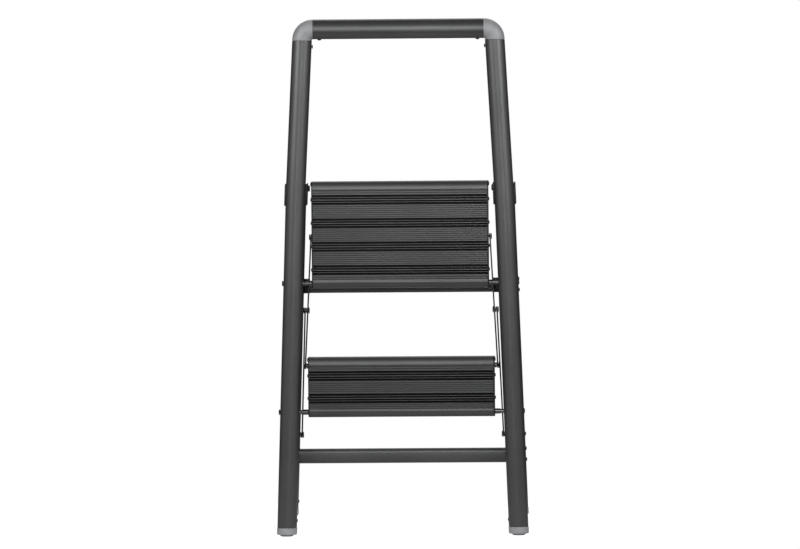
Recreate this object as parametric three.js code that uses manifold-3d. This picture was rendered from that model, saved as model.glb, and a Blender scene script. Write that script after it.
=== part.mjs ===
// A slim folding two-step ladder with a handrail bar, made of round aluminium tube.
// It is drawn folded and upright: the treads are turned up between the front rails and the
// rear frame lies flat behind them. Millimetres, +X right, +Y back, +Z up. The origin is the
// centre of the folded ladder's footprint, level with the lowest point of the front feet.
//
// Opening: the treads drop backwards 70 degrees on their axles, the tread links keep them
// parallel, and the brace links push the rear frame back 35 degrees.

import * as THREE from "three";
import { mergeVertices } from "three/addons/utils/BufferGeometryUtils.js";
import Module from "manifold-3d";

const wasm = await Module();
wasm.setup();

// ---------------------------------------------------------------- driving dimensions

const GAP = 0.3;

const FRONT_Y = -21;
const REAR_Y = 21;

const TUBE_RADIUS = 19;
const TUBE_BORE = 17.5;
const TUBE_FACETS = 32;

// Half the distance between the tube centre lines, at three heights. The tubes bend at the hinge.
const SPREAD = [
  { z: 0, x: 223.8 },
  { z: 668.7, x: 200.4 },
  { z: 977.2, x: 184.3 },
];

const BAR_Z = 977.2;
const ELBOW_RADIUS = 21;
const ELBOW_SPIGOT = 28;
const BAR_SCREW_INSET = 12;
const RAIL_SCREW_DROP = 12;

const FOOT_RADIUS = 19.6;
const FOOT_HEIGHT = 16.3;
const SOLE_RADIUS = 13.5;
const SOLE_STEP = 3.3;
const SOLE_EDGE = 9;
const FRONT_LEAN = 20;
const REAR_LEAN = 15;
const REAR_FOOT_Z = 33.7;

const AXLE_RADIUS = 4.2;
const SLEEVE_RADIUS = 5.2;
const AXLE_HEAD_RADIUS = 7;
const UPPER_AXLE_Z = 488;
const LOWER_AXLE_Z = 239.5;

const TREAD_FRONT = -11;
const TREAD_BACK = 15;
const NOSE_RADIUS = 12;
const NOSE_RISE = 1;
const TREAD_OVERHANG = 10;
const TREAD_WALL = 2;
const TREAD_DECK = 5;
const TREAD_CAP = 2;
const UPPER_TREAD = {
  name: "upper_tread", axleZ: UPPER_AXLE_Z, depth: 206, halfWidth: 170.3, sleeveEnd: 175.2,
  groups: [25.8, 70.9, 116, 161.1],
};
const LOWER_TREAD = {
  name: "lower_tread", axleZ: LOWER_AXLE_Z, depth: 116, halfWidth: 179.6, sleeveEnd: 190,
  groups: [26.6, 70],
};
const GROOVE_PITCH = 4.9;
const GROOVE_DEPTH = 2.6;
const OUTER_GROOVE = 2.8;
const INNER_GROOVE = 2.0;

const HINGE_Z = 668.7;
const BRACKET_WALL = 2.5;
const BRACKET_BOTTOM = 638;
const BRACKET_TOP = 679;
const LEG_TOP = 676.5;

// Arm from each tread axle to its link pin, folded: back, up.
const ARM = { y: 11.5, z: 88.3 };
const LINK_WIDTH = 12;
const LINK_THICKNESS = 2.5;
const PIN_RADIUS = 2.5;
const TREAD_LINK_X = { top: 172.5, bottom: 185.4 };
const MIDDLE_PIVOT_Z = 435;
const BRACE_X = { top: 185, bottom: 194.6 };
const BRACE_FOOT_Z = 192.5;

const UPPER_BAR = { z: 478.7, height: 23.4, depth: 20, corner: 6, end: 186 };
const SOCKET = { z: 480.3, height: 28, depth: 24, corner: 7, start: 176.7 };
const LOWER_BAR = { z: 151.3, height: 28.2, depth: 20, corner: 8 };
const RIVET_PLACES = [164, 143];

// ---------------------------------------------------------------- materials

function finish(color, roughness, metalness) {
  return () => new THREE.MeshStandardMaterial({ color, roughness, metalness });
}

const anodised = finish(0x55575a, 0.42, 0.85);
const greyPlastic = finish(0x909396, 0.6, 0);
const blackPlastic = finish(0x161718, 0.55, 0);
const blackSteel = finish(0x1d1e20, 0.4, 0.7);

// ---------------------------------------------------------------- solids

function solid(geometry) {
  const bare = geometry.index ? geometry.toNonIndexed() : geometry.clone();
  bare.deleteAttribute("normal");
  bare.deleteAttribute("uv");
  const merged = mergeVertices(bare, 1e-4);
  const vertProperties = new Float32Array(merged.attributes.position.array);
  const triVerts = new Uint32Array(merged.index.array);
  return new wasm.Manifold(new wasm.Mesh({ numProp: 3, vertProperties, triVerts }));
}

function geometryOf(manifold) {
  const mesh = manifold.getMesh();
  const geometry = new THREE.BufferGeometry();
  geometry.setAttribute("position", new THREE.BufferAttribute(mesh.vertProperties, 3));
  geometry.setIndex(new THREE.BufferAttribute(mesh.triVerts, 1));
  geometry.computeVertexNormals();
  return geometry;
}

function join(...solids) {
  return solids.reduce((whole, next) => whole.add(next));
}

function cut(body, ...tools) {
  return tools.reduce((rest, tool) => rest.subtract(tool), body);
}

// ---------------------------------------------------------------- basic shapes

// Moves each vertex sideways by an amount that depends on its height.
function sheared(geometry, offsetAt) {
  const position = geometry.attributes.position;
  for (let i = 0; i < position.count; i += 1) {
    position.setX(i, position.getX(i) + offsetAt(position.getZ(i)));
  }
  return geometry;
}

function between(z, low, high) {
  return low.x + ((high.x - low.x) * (z - low.z)) / (high.z - low.z);
}

function spreadAt(z) {
  const [foot, hinge, top] = SPREAD;
  return z < hinge.z ? between(z, foot, hinge) : between(z, hinge, top);
}

// A turned shape on a frame tube's own centre line, following its splay and bend.
function onTube(profile, side, y, facets = TUBE_FACETS) {
  const points = profile.map(([radius, z]) => new THREE.Vector2(radius, z));
  const geometry = new THREE.LatheGeometry(points, facets);
  geometry.rotateX(Math.PI / 2);
  sheared(geometry, (z) => side * spreadAt(z));
  geometry.translate(0, y, 0);
  return solid(geometry);
}

function frameTube(side, y, low, high) {
  const heights = [low, SPREAD[1].z, high];
  const profile = heights.map((z) => [TUBE_RADIUS, z]);
  profile.push(...heights.reverse().map((z) => [TUBE_BORE, z]));
  profile.push([TUBE_RADIUS, low]);
  return onTube(profile, side, y);
}

function plug(side, y, radius, low, high) {
  return onTube([[0, low], [radius, low], [radius, high], [0, high]], side, y);
}

function rod(start, end, radius, facets = 16) {
  const from = new THREE.Vector3(...start);
  const to = new THREE.Vector3(...end);
  const along = to.clone().sub(from);
  const geometry = new THREE.CylinderGeometry(radius, radius, along.length(), facets);
  const turn = new THREE.Quaternion();
  turn.setFromUnitVectors(new THREE.Vector3(0, 1, 0), along.normalize());
  geometry.applyQuaternion(turn);
  geometry.translate(...from.add(to).multiplyScalar(0.5).toArray());
  return solid(geometry);
}

function crossRod(x0, x1, y, z, radius, facets = 16) {
  return rod([x0, y, z], [x1, y, z], radius, facets);
}

// A round-headed fastener: a shank with a low conical head that stands on it.
function fastener(base, direction, shankLength, shankRadius, headRadius, headHeight) {
  const facets = 10;
  const origin = new THREE.Vector3(...base);
  const out = new THREE.Vector3(...direction);
  const tail = origin.clone().addScaledVector(out, -shankLength);
  const overlap = origin.clone().addScaledVector(out, headHeight / 2);
  const head = new THREE.CylinderGeometry(headRadius * 0.6, headRadius, headHeight, facets);
  const turn = new THREE.Quaternion().setFromUnitVectors(new THREE.Vector3(0, 1, 0), out);
  head.applyQuaternion(turn);
  head.translate(...origin.clone().addScaledVector(out, headHeight / 2).toArray());
  return join(solid(head), rod(tail.toArray(), overlap.toArray(), shankRadius, facets));
}

function block(x0, x1, y0, y1, z0, z1) {
  const geometry = new THREE.BoxGeometry(x1 - x0, y1 - y0, z1 - z0);
  geometry.translate((x0 + x1) / 2, (y0 + y1) / 2, (z0 + z1) / 2);
  return solid(geometry);
}

// Stands a shape drawn in (y, z) on the plane x0 and runs it across to x1.
function acrossFrame(shape, x0, x1, curveSegments = 4) {
  const geometry = new THREE.ExtrudeGeometry(shape, {
    depth: x1 - x0, bevelEnabled: false, curveSegments,
  });
  const axes = new THREE.Matrix4().makeBasis(
    new THREE.Vector3(0, 1, 0),
    new THREE.Vector3(0, 0, 1),
    new THREE.Vector3(1, 0, 0),
  );
  geometry.applyMatrix4(axes);
  geometry.translate(x0, 0, 0);
  return geometry;
}

function roundedRectangle(y0, y1, z0, z1, corner) {
  const shape = new THREE.Shape();
  shape.absarc(y1 - corner, z1 - corner, corner, 0, Math.PI / 2);
  shape.absarc(y0 + corner, z1 - corner, corner, Math.PI / 2, Math.PI);
  shape.absarc(y0 + corner, z0 + corner, corner, Math.PI, 1.5 * Math.PI);
  shape.absarc(y1 - corner, z0 + corner, corner, 1.5 * Math.PI, 2 * Math.PI);
  return shape;
}

function roundedBar(y, z, depth, height, corner, x0, x1) {
  const shape = roundedRectangle(
    y - depth / 2, y + depth / 2, z - height / 2, z + height / 2, corner,
  );
  return solid(acrossFrame(shape, x0, x1));
}

// ---------------------------------------------------------------- front frame

function frontRail(side) {
  const top = BAR_Z - ELBOW_RADIUS - GAP;
  const tube = frameTube(side, FRONT_Y, FOOT_HEIGHT + GAP, top);
  const reach = side * 300;
  const axleHole = (z) => crossRod(0, reach, FRONT_Y, z, AXLE_RADIUS + GAP);
  const screwZ = top - RAIL_SCREW_DROP;
  const screwHole = crossRod(0, side * spreadAt(screwZ), FRONT_Y, screwZ, 2 + GAP, 10);
  return cut(tube, axleHole(UPPER_AXLE_Z), axleHole(LOWER_AXLE_Z), screwHole);
}

function elbowCentreX() {
  return spreadAt(BAR_Z - ELBOW_RADIUS) - ELBOW_RADIUS;
}

function topBar() {
  const half = elbowCentreX() - GAP;
  const outside = crossRod(-half, half, FRONT_Y, BAR_Z, TUBE_RADIUS, TUBE_FACETS);
  const bore = crossRod(-half - 1, half + 1, FRONT_Y, BAR_Z, TUBE_BORE, TUBE_FACETS);
  const holes = [-1, 1].map((side) => {
    const x = side * (half - BAR_SCREW_INSET);
    return rod([x, FRONT_Y, BAR_Z], [x, FRONT_Y, BAR_Z - 30], 2 + GAP, 10);
  });
  return cut(outside, bore, ...holes);
}

function cornerElbow(side) {
  const centreX = elbowCentreX();
  const centreZ = BAR_Z - ELBOW_RADIUS;
  const ring = new THREE.TorusGeometry(ELBOW_RADIUS, TUBE_RADIUS, TUBE_FACETS, 28);
  ring.rotateX(Math.PI / 2);
  ring.translate(side * centreX, FRONT_Y, centreZ);
  const near = side * centreX;
  const far = side * (centreX + 60);
  const corner = block(Math.min(near, far), Math.max(near, far), -60, 20, centreZ, centreZ + 60);
  const bend = solid(ring).intersect(corner);
  const spigot = TUBE_BORE - GAP;
  const inBar = crossRod(
    side * (centreX - ELBOW_SPIGOT), side * (centreX + 4), FRONT_Y, BAR_Z, spigot, TUBE_FACETS,
  );
  const inRail = plug(side, FRONT_Y, spigot, centreZ - ELBOW_SPIGOT, centreZ + 3);
  const barScrewX = side * (centreX - GAP - BAR_SCREW_INSET);
  const railScrewZ = centreZ - GAP - RAIL_SCREW_DROP;
  return cut(
    join(bend, inBar, inRail),
    rod([barScrewX, FRONT_Y, BAR_Z - 9], [barScrewX, FRONT_Y, BAR_Z - 30], 2 + GAP, 10),
    crossRod(side * 140, side * (spreadAt(railScrewZ) - 9), FRONT_Y, railScrewZ, 2 + GAP, 10),
  );
}

function elbowBarScrew(side) {
  const x = side * (elbowCentreX() - GAP - BAR_SCREW_INSET);
  return fastener([x, FRONT_Y, BAR_Z - TUBE_RADIUS - GAP], [0, 0, -1], 8, 2, 4, 2.2);
}

function elbowRailScrew(side) {
  const z = BAR_Z - ELBOW_RADIUS - GAP - RAIL_SCREW_DROP;
  const x = side * (spreadAt(z) - TUBE_RADIUS - 0.5);
  return fastener([x, FRONT_Y, z], [-side, 0, 0], 8, 2, 4, 2.2);
}

// A tube foot with a smaller sole. Its underside is cut on the slant that the tube leans at
// when the ladder is open; heel is +1 where the slant rises backwards and -1 where it rises
// forwards.
function foot(side, y, bottom, leanDegrees, heel) {
  const profile = [
    [0, bottom],
    [SOLE_RADIUS, bottom],
    [SOLE_RADIUS, bottom + SOLE_STEP],
    [FOOT_RADIUS - 1, bottom + SOLE_STEP],
    [FOOT_RADIUS, bottom + SOLE_STEP + 3],
    [FOOT_RADIUS, bottom + FOOT_HEIGHT],
    [TUBE_BORE - GAP, bottom + FOOT_HEIGHT],
    [TUBE_BORE - GAP, bottom + FOOT_HEIGHT + 26],
    [0, bottom + FOOT_HEIGHT + 26],
  ];
  const ground = new THREE.BoxGeometry(120, 120, 40);
  ground.translate(0, 0, -20);
  ground.rotateX(heel * THREE.MathUtils.degToRad(leanDegrees));
  ground.translate(side * spreadAt(bottom), y - heel * SOLE_EDGE, bottom);
  return cut(onTube(profile, side, y), solid(ground));
}

// A rod with a head outside each rail and a fixed spacer sleeve beside each end of its tread.
function axle(tread) {
  const z = tread.axleZ;
  const reach = spreadAt(z) + TUBE_RADIUS + 1;
  const round = (from, to, radius) => [-1, 1].map((side) => (
    crossRod(side * from, side * to, FRONT_Y, z, radius)
  ));
  const shaft = crossRod(-reach - 1, reach + 1, FRONT_Y, z, AXLE_RADIUS);
  return join(
    shaft,
    ...round(reach, reach + 2.5, AXLE_HEAD_RADIUS),
    ...round(tread.halfWidth + GAP, tread.sleeveEnd, SLEEVE_RADIUS),
  );
}

// A black channel that grips the front rail from behind and carries the rear leg between
// its two cheeks.
function hingeBracket(side) {
  const middle = side * spreadAt(HINGE_Z);
  const half = TUBE_RADIUS + BRACKET_WALL;
  const shape = new THREE.Shape();
  shape.moveTo(half, FRONT_Y - 2);
  shape.lineTo(half, REAR_Y + 6);
  shape.quadraticCurveTo(half, REAR_Y + 14, half - 8, REAR_Y + 14);
  shape.lineTo(8 - half, REAR_Y + 14);
  shape.quadraticCurveTo(-half, REAR_Y + 14, -half, REAR_Y + 6);
  shape.lineTo(-half, FRONT_Y - 2);
  const geometry = new THREE.ExtrudeGeometry(shape, {
    depth: BRACKET_TOP - BRACKET_BOTTOM, bevelEnabled: false, curveSegments: 4,
  });
  geometry.translate(0, 0, BRACKET_BOTTOM);
  const outside = solid(sheared(geometry, (z) => side * spreadAt(z)));
  const railSpace = plug(side, FRONT_Y, TUBE_RADIUS + GAP, BRACKET_BOTTOM - 5, BRACKET_TOP + 5);
  const legHalf = TUBE_RADIUS + 0.5;
  const legSpace = new THREE.BoxGeometry(2 * legHalf, 60, 80);
  legSpace.translate(0, 30.3, HINGE_Z);
  const legPocket = solid(sheared(legSpace, (z) => side * spreadAt(z)));
  const pinHole = crossRod(middle - 40, middle + 40, REAR_Y, HINGE_Z, AXLE_RADIUS + GAP);
  return cut(outside, railSpace, legPocket, pinHole);
}

// A rivet through bracket and leg, headed on the inner cheek and flush with the outer one.
function hingePin(side) {
  const middle = spreadAt(HINGE_Z);
  const half = TUBE_RADIUS + BRACKET_WALL;
  const inner = side * (middle - half - 2 * GAP);
  return join(
    crossRod(inner - side, side * (middle + half - GAP), REAR_Y, HINGE_Z, AXLE_RADIUS),
    crossRod(inner, inner - side * 3.5, REAR_Y, HINGE_Z, 6),
  );
}

// ---------------------------------------------------------------- treads

// The end caps' outline: the tread's own outline without its grooves.
function treadOutline(depth) {
  const low = -TREAD_OVERHANG;
  const high = depth - TREAD_OVERHANG;
  const crest = TREAD_FRONT - NOSE_RISE;
  const shape = new THREE.Shape();
  shape.absarc(TREAD_BACK - 5, low + 5, 5, 1.5 * Math.PI, 2 * Math.PI);
  shape.absarc(TREAD_BACK - 5, high - 5, 5, 0, Math.PI / 2);
  shape.absarc(crest + NOSE_RADIUS, high - NOSE_RADIUS, NOSE_RADIUS, Math.PI / 2, Math.PI);
  shape.absarc(crest + NOSE_RADIUS, low + NOSE_RADIUS, NOSE_RADIUS, Math.PI, 1.5 * Math.PI);
  return shape;
}

// The grip grooves in the standing surface from the top one down, as [z, half width].
function gripGrooves(tread) {
  const grooves = tread.groups.flatMap((centre) => (
    [-1.5, -0.5, 0.5, 1.5].map((step) => {
      const width = Math.abs(step) > 1 ? OUTER_GROOVE : INNER_GROOVE;
      return [centre + step * GROOVE_PITCH, width / 2];
    })
  ));
  return grooves.sort((a, b) => b[0] - a[0]);
}

function treadSection(tread) {
  const low = -TREAD_OVERHANG;
  const high = tread.depth - TREAD_OVERHANG;
  const crest = TREAD_FRONT - NOSE_RISE;
  const noseStart = NOSE_RADIUS + 1;
  const noseEnd = NOSE_RADIUS + 4;
  const shape = new THREE.Shape();
  shape.absarc(TREAD_BACK - 5, low + 5, 5, 1.5 * Math.PI, 2 * Math.PI);
  shape.absarc(TREAD_BACK - 5, high - 5, 5, 0, Math.PI / 2);
  shape.absarc(crest + NOSE_RADIUS, high - NOSE_RADIUS, NOSE_RADIUS, Math.PI / 2, Math.PI);
  shape.lineTo(crest, high - noseStart);
  shape.lineTo(TREAD_FRONT, high - noseEnd);
  gripGrooves(tread).forEach(([z, half]) => {
    shape.lineTo(TREAD_FRONT, z + half);
    shape.lineTo(TREAD_FRONT + GROOVE_DEPTH, z + half * 0.8);
    shape.lineTo(TREAD_FRONT + GROOVE_DEPTH, z - half * 0.8);
    shape.lineTo(TREAD_FRONT, z - half);
  });
  shape.lineTo(TREAD_FRONT, low + noseEnd);
  shape.lineTo(crest, low + noseStart);
  shape.absarc(crest + NOSE_RADIUS, low + NOSE_RADIUS, NOSE_RADIUS, Math.PI, 1.5 * Math.PI);
  shape.holes = treadCells(tread, 0);
  return shape;
}

// The hollow cells of the extrusion, one behind each group of grooves.
function treadCells(tread, inset) {
  const walls = [-TREAD_OVERHANG + TREAD_WALL];
  for (let i = 0; i + 1 < tread.groups.length; i += 1) {
    const web = (tread.groups[i] + tread.groups[i + 1]) / 2;
    walls.push(web - TREAD_WALL / 2, web + TREAD_WALL / 2);
  }
  walls.push(tread.depth - TREAD_OVERHANG - TREAD_WALL);
  const cells = [];
  for (let i = 0; i < walls.length; i += 2) {
    cells.push(roundedRectangle(
      TREAD_FRONT + TREAD_DECK + inset, TREAD_BACK - TREAD_WALL - inset,
      walls[i] + inset, walls[i + 1] - inset, 2,
    ));
  }
  return cells;
}

function atAxle(geometry, tread) {
  geometry.translate(0, FRONT_Y, tread.axleZ);
  return solid(geometry);
}

function treadPlank(tread) {
  const half = tread.halfWidth - TREAD_CAP - GAP;
  return atAxle(acrossFrame(treadSection(tread), -half, half, 3), tread);
}

function screwPlaces(tread, side) {
  return tread.groups.map((z) => [side * tread.halfWidth, FRONT_Y, tread.axleZ + z]);
}

function treadEndCap(tread, side) {
  const inner = tread.halfWidth - TREAD_CAP;
  const span = (from, to) => [Math.min(side * from, side * to), Math.max(side * from, side * to)];
  const plate = atAxle(acrossFrame(treadOutline(tread.depth), ...span(inner, tread.halfWidth)), tread);
  const plugs = treadCells(tread, GAP).map((cell) => (
    atAxle(acrossFrame(cell, ...span(inner - 10, inner + 1), 1), tread)
  ));
  const reach = [side * (inner - 20), side * (inner + 20)];
  const axleHole = crossRod(...reach, FRONT_Y, tread.axleZ, AXLE_RADIUS + GAP);
  const pinHole = crossRod(
    side * (inner - GAP), side * (inner + 20), FRONT_Y + ARM.y, tread.axleZ + ARM.z, PIN_RADIUS + GAP, 12,
  );
  const screwHoles = screwPlaces(tread, side).map(([, y, z]) => (
    crossRod(side * (inner - 8), side * (inner + 20), y, z, 1.6 + GAP, 10)
  ));
  return cut(join(plate, ...plugs), axleHole, pinHole, ...screwHoles);
}

function treadScrew(place, side) {
  const [x, y, z] = place;
  return fastener([x + side * 0.1, y, z], [side, 0, 0], 9, 1.6, 3.6, 2.2);
}

// ---------------------------------------------------------------- links

function stripX(ends, z, lowZ, highZ) {
  return ends.bottom + ((ends.top - ends.bottom) * (z - lowZ)) / (highZ - lowZ);
}

// A flat strip with round ends between two (y, z) points, lying at a slightly changing x.
function strip(side, top, bottom, ends, thickness, holes) {
  const angle = Math.atan2(top[1] - bottom[1], top[0] - bottom[0]);
  const radius = LINK_WIDTH / 2;
  const shape = new THREE.Shape();
  shape.absarc(top[0], top[1], radius, angle - Math.PI / 2, angle + Math.PI / 2);
  shape.absarc(bottom[0], bottom[1], radius, angle + Math.PI / 2, angle + 1.5 * Math.PI);
  holes.forEach(([y, z]) => {
    const hole = new THREE.Path();
    hole.absarc(y, z, PIN_RADIUS + GAP, 0, 2 * Math.PI, true);
    shape.holes.push(hole);
  });
  const geometry = acrossFrame(shape, -thickness / 2, thickness / 2);
  sheared(geometry, (z) => side * stripX(ends, z, bottom[1], top[1]));
  return solid(geometry);
}

const UPPER_LINK_PIN = [FRONT_Y + ARM.y, UPPER_AXLE_Z + ARM.z];
const LOWER_LINK_PIN = [FRONT_Y + ARM.y, LOWER_AXLE_Z + ARM.z];
const MIDDLE_PIVOT = [FRONT_Y + ARM.y, MIDDLE_PIVOT_Z];
const BRACE_FOOT = [REAR_Y, BRACE_FOOT_Z];

function treadLink(side) {
  const holes = [UPPER_LINK_PIN, LOWER_LINK_PIN, MIDDLE_PIVOT];
  return strip(side, UPPER_LINK_PIN, LOWER_LINK_PIN, TREAD_LINK_X, LINK_THICKNESS, holes);
}

function braceLink(side) {
  const holes = [MIDDLE_PIVOT, BRACE_FOOT];
  return strip(side, MIDDLE_PIVOT, BRACE_FOOT, BRACE_X, LINK_THICKNESS, holes);
}

// A pin along X made of stacked rounds: each entry is [start x, end x, radius].
function steppedPin(side, [y, z], steps) {
  return join(...steps.map(([x0, x1, radius]) => crossRod(side * x0, side * x1, y, z, radius, 12)));
}

function treadLinkPin(tread, pivot, linkX, side) {
  const inner = tread.halfWidth - TREAD_CAP + GAP;
  const face = linkX - LINK_THICKNESS / 2 - 0.6;
  const headStart = linkX + LINK_THICKNESS / 2 + 0.6;
  const steps = [
    [inner, headStart + 0.5, PIN_RADIUS],
    [headStart, headStart + 2, 6],
  ];
  if (face - tread.halfWidth > 2) {
    steps.push([tread.halfWidth + GAP, face, 4.5]);
  }
  return steppedPin(side, pivot, steps);
}

function middlePivotPin(side) {
  const linkX = stripX(TREAD_LINK_X, MIDDLE_PIVOT_Z, LOWER_LINK_PIN[1], UPPER_LINK_PIN[1]);
  const half = LINK_THICKNESS / 2 + 0.5;
  return steppedPin(side, MIDDLE_PIVOT, [
    [linkX - half - 2, linkX - half, 6.2],
    [linkX - half - 1, BRACE_X.top + half + 1, PIN_RADIUS],
    [linkX + half, BRACE_X.top - half, 5],
    [BRACE_X.top + half, BRACE_X.top + half + 1.6, 6.2],
  ]);
}

function braceFootPin(side) {
  const half = LINK_THICKNESS / 2 + 0.4;
  const leg = spreadAt(BRACE_FOOT_Z) - TUBE_RADIUS;
  return steppedPin(side, BRACE_FOOT, [
    [BRACE_X.bottom - half - 2, BRACE_X.bottom - half, 6],
    [BRACE_X.bottom - half - 1, BRACE_X.bottom + half + 1, PIN_RADIUS],
    [BRACE_X.bottom + half, leg - GAP, 5],
  ]);
}

// ---------------------------------------------------------------- rear frame

function rearLeg(side) {
  const tube = onTube([
    [TUBE_RADIUS, REAR_FOOT_Z + FOOT_HEIGHT + GAP],
    [TUBE_RADIUS, HINGE_Z],
    [TUBE_RADIUS, LEG_TOP],
    [TUBE_BORE, LEG_TOP],
    [TUBE_BORE, HINGE_Z],
    [TUBE_BORE, REAR_FOOT_Z + FOOT_HEIGHT + GAP],
    [TUBE_RADIUS, REAR_FOOT_Z + FOOT_HEIGHT + GAP],
  ], side, REAR_Y);
  const pinHole = crossRod(0, side * 300, REAR_Y, HINGE_Z, AXLE_RADIUS + GAP);
  const rivetHoles = RIVET_PLACES.map((z) => (
    crossRod(side * spreadAt(z), side * 300, REAR_Y, z, 2.4 + GAP, 10)
  ));
  return cut(tube, pinHole, ...rivetHoles);
}

function lowerRearCrossbar() {
  const end = spreadAt(LOWER_BAR.z);
  const { z, depth, height, corner } = LOWER_BAR;
  const bar = roundedBar(REAR_Y, z, depth, height, corner, -end, end);
  const bore = roundedBar(REAR_Y, z, depth - 3, height - 3, corner - 1.5, -end - 1, end + 1);
  const legs = [-1, 1].map((side) => plug(side, REAR_Y, TUBE_RADIUS + GAP, z - 40, z + 40));
  return cut(bar, bore, ...legs);
}

function upperRearCrossbar() {
  const { z, depth, height, corner, end } = UPPER_BAR;
  const bar = roundedBar(REAR_Y, z, depth, height, corner, -end, end);
  const bore = roundedBar(REAR_Y, z, depth - 3, height - 3, corner - 1.5, -end - 1, end + 1);
  return cut(bar, bore);
}

function crossbarSocket(side) {
  const { z, depth, height, corner, start } = SOCKET;
  const span = (from, to) => [Math.min(side * from, side * to), Math.max(side * from, side * to)];
  const outside = roundedBar(REAR_Y, z, depth, height, corner, ...span(start, spreadAt(z)));
  const mouth = roundedBar(
    REAR_Y, UPPER_BAR.z, UPPER_BAR.depth + 2 * GAP, UPPER_BAR.height + 2 * GAP, UPPER_BAR.corner,
    ...span(start - 5, UPPER_BAR.end + GAP),
  );
  const leg = plug(side, REAR_Y, TUBE_RADIUS + GAP, z - 40, z + 40);
  return cut(outside, mouth, leg);
}

function crossbarRivet(side, z) {
  const x = side * (spreadAt(z) + TUBE_RADIUS + 0.5);
  return fastener([x, REAR_Y, z], [side, 0, 0], 5, 2.4, 4, 1.6);
}

// ---------------------------------------------------------------- assembly

const group = new THREE.Group();

function add(name, shape, material) {
  const mesh = new THREE.Mesh(geometryOf(shape), material());
  mesh.name = name;
  group.add(mesh);
}

const SIDES = [["left", -1], ["right", 1]];

add("top_handle_bar", topBar(), anodised);
add("upper_tread_axle", axle(UPPER_TREAD), blackSteel);
add("lower_tread_axle", axle(LOWER_TREAD), blackSteel);
add("upper_tread_plank", treadPlank(UPPER_TREAD), anodised);
add("lower_tread_plank", treadPlank(LOWER_TREAD), anodised);
add("lower_rear_crossbar", lowerRearCrossbar(), anodised);
add("upper_rear_crossbar", upperRearCrossbar(), anodised);

SIDES.forEach(([word, side]) => {
  add(`${word}_front_rail`, frontRail(side), anodised);
  add(`${word}_corner_elbow`, cornerElbow(side), greyPlastic);
  add(`${word}_elbow_bar_screw`, elbowBarScrew(side), blackSteel);
  add(`${word}_elbow_rail_screw`, elbowRailScrew(side), blackSteel);
  add(`${word}_front_foot`, foot(side, FRONT_Y, 0, FRONT_LEAN, 1), greyPlastic);
  add(`${word}_hinge_bracket`, hingeBracket(side), blackPlastic);
  add(`${word}_hinge_pin`, hingePin(side), blackSteel);

  [UPPER_TREAD, LOWER_TREAD].forEach((tread) => {
    add(`${word}_${tread.name}_cap`, treadEndCap(tread, side), blackPlastic);
    screwPlaces(tread, side).forEach((place, index) => {
      add(`${word}_${tread.name}_screw_${index + 1}`, treadScrew(place, side), blackSteel);
    });
  });
  add(`${word}_upper_link_pin`,
    treadLinkPin(UPPER_TREAD, UPPER_LINK_PIN, TREAD_LINK_X.top, side), blackSteel);
  add(`${word}_lower_link_pin`,
    treadLinkPin(LOWER_TREAD, LOWER_LINK_PIN, TREAD_LINK_X.bottom, side), blackSteel);

  add(`${word}_tread_link`, treadLink(side), blackSteel);
  add(`${word}_middle_pivot_pin`, middlePivotPin(side), blackSteel);
  add(`${word}_brace_link`, braceLink(side), blackSteel);
  add(`${word}_brace_foot_pin`, braceFootPin(side), blackSteel);

  add(`${word}_rear_leg`, rearLeg(side), anodised);
  add(`${word}_crossbar_socket`, crossbarSocket(side), blackPlastic);
  RIVET_PLACES.forEach((z, index) => {
    add(`${word}_crossbar_rivet_${index + 1}`, crossbarRivet(side, z), blackSteel);
  });
  add(`${word}_rear_foot`, foot(side, REAR_Y, REAR_FOOT_Z, REAR_LEAN, -1), greyPlastic);
});

export default group;
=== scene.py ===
"""Looks of the folding two-step ladder with a handrail bar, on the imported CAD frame."""

import math

import bmesh
import bpy
from mathutils import Matrix, Vector


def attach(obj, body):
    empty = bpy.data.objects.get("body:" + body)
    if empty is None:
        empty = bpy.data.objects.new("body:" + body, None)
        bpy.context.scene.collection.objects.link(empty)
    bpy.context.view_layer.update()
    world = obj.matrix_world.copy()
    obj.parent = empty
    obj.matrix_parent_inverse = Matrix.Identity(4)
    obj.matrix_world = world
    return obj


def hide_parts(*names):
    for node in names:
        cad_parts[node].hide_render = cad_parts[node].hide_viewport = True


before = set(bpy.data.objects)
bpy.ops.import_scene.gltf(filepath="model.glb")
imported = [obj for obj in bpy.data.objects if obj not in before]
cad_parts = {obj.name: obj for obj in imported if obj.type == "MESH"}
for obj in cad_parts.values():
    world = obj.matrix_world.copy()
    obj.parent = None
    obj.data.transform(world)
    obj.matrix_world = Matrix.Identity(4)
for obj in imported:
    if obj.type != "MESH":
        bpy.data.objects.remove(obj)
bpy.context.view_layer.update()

SIDES = (("left", -1), ("right", 1))

# ---------------------------------------------------------------- dimensions, in metres

FRONT_Y = -0.021
REAR_Y = 0.021
TUBE_RADIUS = 0.019
TUBE_BORE = 0.0175
SPREAD = ((0.0, 0.2238), (0.6687, 0.2004), (0.9772, 0.1843))
HINGE_Z = 0.6687
BEND_REACH = 0.03

TUBE_LIP = 0.0004

# How many points there are round a tube, round a pin and on a quarter of a tread's edge.
TUBE_POINTS = 72
PIN_POINTS = 32
EDGE_POINTS = 10

BAR_Z = 0.9772
ELBOW_RADIUS = 0.021
SCREW_INSET = 0.012

BOX_WALL = 0.0015
UPPER_BAR = {"z": 0.4787, "height": 0.0234, "corner": 0.006, "half": 0.186}
LOWER_BAR = {"z": 0.1513, "height": 0.0282, "corner": 0.008}
BOX_DEPTH = 0.020
UPPER_RIVETS = (0.492, 0.471)
LOWER_RIVETS = (0.164, 0.143)

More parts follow.
